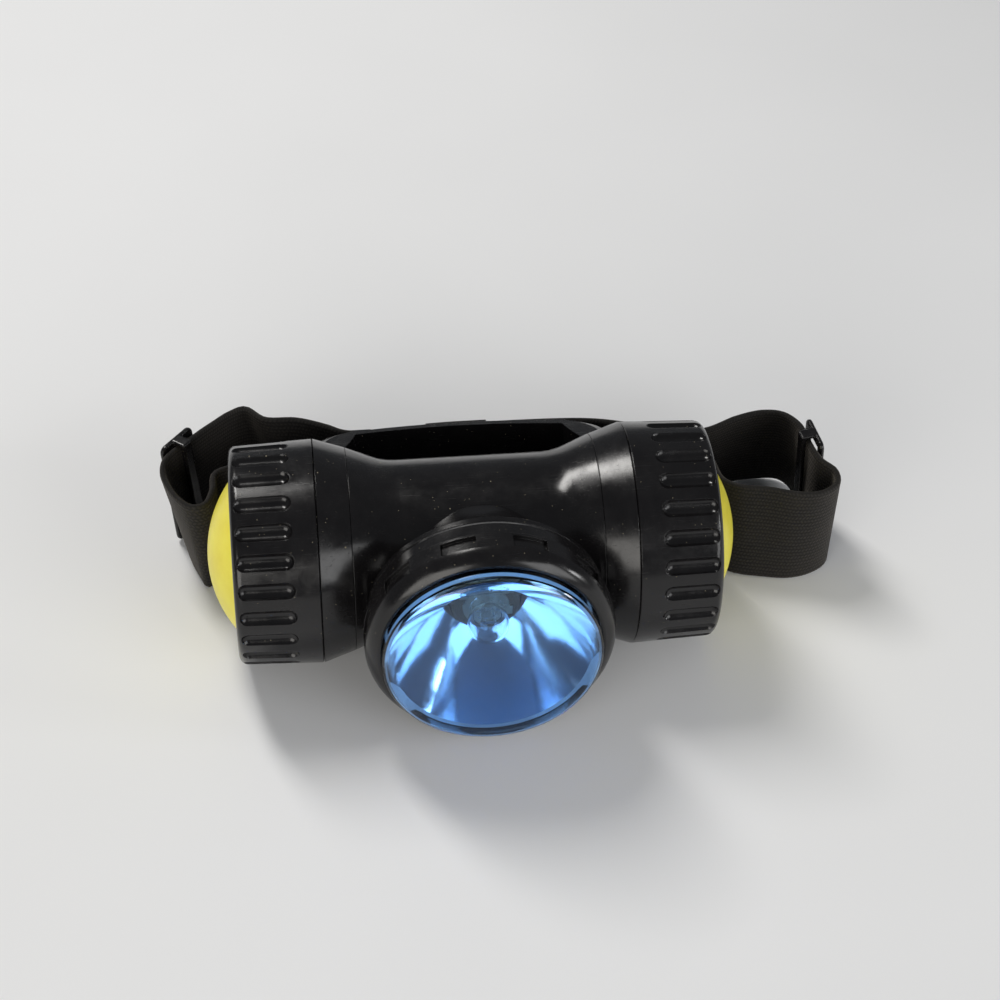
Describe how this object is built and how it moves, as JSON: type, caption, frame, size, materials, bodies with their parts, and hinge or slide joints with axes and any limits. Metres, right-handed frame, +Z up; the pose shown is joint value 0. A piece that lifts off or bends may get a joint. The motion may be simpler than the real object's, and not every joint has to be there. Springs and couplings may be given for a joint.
{
  "type": "headlamp",
  "caption": "Headlamp with a horizontal battery tube, screw end caps, blue-lensed lamp head tilting in a rear bracket, and an elastic strap.",
  "frame": {"origin": "centre of the bounding box in plan, on the surface that the lamp stands on", "axes": "+X along the battery tube, towards the viewer's right; the lens faces -Y and looks 4 degrees up; +Z up"},
  "size_m": [0.1677, 0.0969, 0.0584],
  "materials": {
    "black_plastic": "moulded gloss",
    "slider_plastic": "moulded gloss",
    "yellow_plastic": "satin",
    "blue_lens": "clear moulded",
    "reflector_metal": "vacuum metallised",
    "bulb_glass": "clear",
    "brass": "stamped",
    "spring_steel": "drawn wire",
    "rubber": "moulded",
    "insulator": "moulded matt",
    "cell_jacket": "printed film over steel, left plain",
    "webbing": "woven elastic"
  },
  "bodies": {
    "bracket": {"bracket": "black_plastic", "strap_forehead": "webbing", "strap_right_loop": "webbing", "strap_back": "webbing", "strap_left_loop": "webbing", "left_slider": "slider_plastic", "right_slider": "slider_plastic"},
    "lamp": {"tube_housing": "black_plastic", "lamp_barrel": "black_plastic", "bezel_oring": "rubber", "left_neck": "black_plastic", "right_neck": "black_plastic", "left_friction_band": "rubber", "right_friction_band": "rubber", "left_cap_oring": "rubber", "right_cap_oring": "rubber", "cell_left_upper": "cell_jacket", "cell_left_lower": "cell_jacket", "cell_right_upper": "cell_jacket", "cell_right_lower": "cell_jacket", "upper_cell_link": "brass", "left_bulb_strip": "brass", "right_bulb_strip": "brass", "bulb_glass": "bulb_glass", "bulb_cap": "brass", "bulb_filament": "spring_steel", "bulb_holder": "insulator"},
    "optics": {"reflector": "reflector_metal", "lens_gasket": "rubber", "lens": "blue_lens"},
    "bezel_ring": {"bezel": "black_plastic"},
    "left_contacts": {"left_contact_carrier": "insulator", "left_contact_plate": "brass", "left_contact_springs": "spring_steel", "switch_body": "insulator"},
    "left_cap": {"left_cap": "black_plastic"},
    "switch_button": {"switch_dome": "yellow_plastic", "switch_pin": "insulator", "switch_spring": "spring_steel"},
    "right_contacts": {"right_contact_carrier": "insulator", "right_contact_plate": "brass", "right_contact_springs": "spring_steel"},
    "right_cap": {"right_cap": "black_plastic", "right_dome": "yellow_plastic"}
  },
  "joints": [
    {"name": "lamp_tilt", "type": "hinge", "parent": "bracket", "child": "lamp", "pos_m": [-0.0093, -0.0043, 0.0268], "axis": [1, 0, 0], "range_deg": [-31, 44]},
    {"name": "right_cap_travel", "type": "slide", "parent": "lamp", "child": "right_contacts", "axis": [1, 0, 0], "range_m": [0, 0.0031]},
    {"name": "right_cap_turn", "type": "hinge", "parent": "right_contacts", "child": "right_cap", "pos_m": [-0.0093, -0.0043, 0.0268], "axis": [1, 0, 0], "range_deg": [0, 540]},
    {"name": "left_cap_travel", "type": "slide", "parent": "lamp", "child": "left_contacts", "axis": [-1, 0, 0], "range_m": [0, 0.0031]},
    {"name": "left_cap_turn", "type": "hinge", "parent": "left_contacts", "child": "left_cap", "pos_m": [-0.0093, -0.0043, 0.0268], "axis": [-1, 0, 0], "range_deg": [0, 540]},
    {"name": "bezel_travel", "type": "slide", "parent": "lamp", "child": "optics", "axis": [0, -0.9976, 0.0698], "range_m": [0, 0.0026]},
    {"name": "bezel_turn", "type": "hinge", "parent": "optics", "child": "bezel_ring", "pos_m": [-0.0081, -0.03522, 0.02896], "axis": [0, -0.9976, 0.0698], "range_deg": [0, 360]},
    {"name": "switch_press", "type": "slide", "parent": "left_cap", "child": "switch_button", "axis": [1, 0, 0], "range_m": [0, 0.0015], "stiffness_N_per_m": 600, "springref_m": -0.001, "deforming": ["switch_spring"]}
  ],
  "couplings": [
    {"joint": "right_cap_travel", "follows": "right_cap_turn", "m_per_rad": 0.00031831},
    {"joint": "left_cap_travel", "follows": "left_cap_turn", "m_per_rad": 0.00031831},
    {"joint": "bezel_travel", "follows": "bezel_turn", "m_per_rad": 0.00039789}
  ]
}
